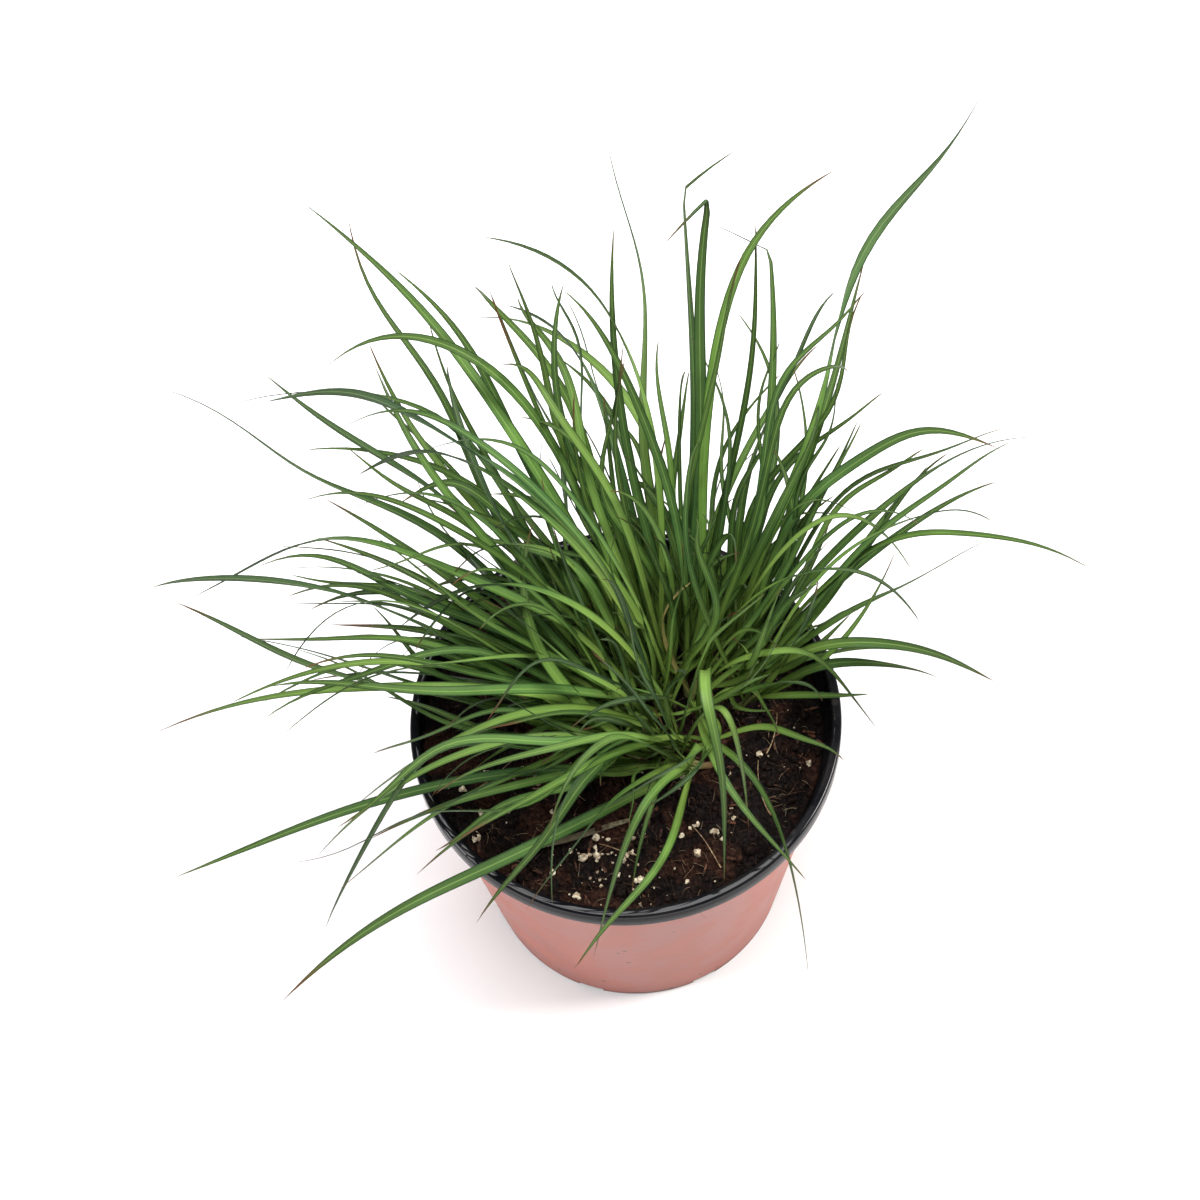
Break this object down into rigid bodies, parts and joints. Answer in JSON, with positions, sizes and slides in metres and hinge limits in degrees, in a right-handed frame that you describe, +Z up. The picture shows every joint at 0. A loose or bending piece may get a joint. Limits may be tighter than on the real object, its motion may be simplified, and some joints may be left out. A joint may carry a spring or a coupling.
{
  "type": "potted ornamental grass clump",
  "caption": "Clump of arching, narrow-leaved ornamental grass growing in compost in a round two-colour plastic nursery pot.",
  "frame": {"origin": "centre of the pot's flat base, on the surface it stands on", "axes": "+Z up along the pot's axis, -Y towards the front of the pot, where the compost shows most, +X to the right"},
  "size_m": [0.398, 0.3174, 0.357],
  "materials": {
    "terracotta_plastic": "satin terracotta outside, glossy black inside and on the rim",
    "peat_compost": "moist dark peat with perlite grains",
    "grass_leaf": "satin green leaf, paler at the base"
  },
  "bodies": {
    "root": {"pot": "terracotta_plastic", "compost": "peat_compost", "shoot_01": "grass_leaf", "shoot_02": "grass_leaf", "shoot_03": "grass_leaf", "shoot_04": "grass_leaf", "shoot_05": "grass_leaf", "shoot_06": "grass_leaf", "shoot_07": "grass_leaf", "shoot_08": "grass_leaf", "shoot_09": "grass_leaf", "shoot_10": "grass_leaf", "shoot_11": "grass_leaf", "shoot_12": "grass_leaf", "shoot_13": "grass_leaf", "shoot_14": "grass_leaf", "shoot_15": "grass_leaf", "shoot_16": "grass_leaf", "shoot_17": "grass_leaf", "shoot_18": "grass_leaf", "shoot_19": "grass_leaf", "shoot_20": "grass_leaf", "shoot_21": "grass_leaf", "shoot_22": "grass_leaf", "shoot_23": "grass_leaf", "shoot_24": "grass_leaf", "shoot_25": "grass_leaf", "shoot_26": "grass_leaf", "shoot_27": "grass_leaf", "shoot_28": "grass_leaf", "shoot_29": "grass_leaf", "shoot_30": "grass_leaf", "shoot_31": "grass_leaf", "shoot_32": "grass_leaf", "shoot_33": "grass_leaf", "shoot_34": "grass_leaf", "shoot_35": "grass_leaf", "shoot_36": "grass_leaf", "shoot_37": "grass_leaf", "shoot_38": "grass_leaf", "shoot_39": "grass_leaf", "shoot_40": "grass_leaf", "shoot_41": "grass_leaf", "shoot_42": "grass_leaf", "shoot_43": "grass_leaf", "shoot_44": "grass_leaf", "shoot_45": "grass_leaf", "shoot_46": "grass_leaf", "shoot_47": "grass_leaf", "shoot_48": "grass_leaf", "shoot_49": "grass_leaf", "shoot_50": "grass_leaf", "shoot_51": "grass_leaf", "shoot_52": "grass_leaf", "shoot_53": "grass_leaf", "shoot_54": "grass_leaf", "shoot_55": "grass_leaf", "shoot_56": "grass_leaf", "shoot_57": "grass_leaf"}
  },
  "joints": []
}
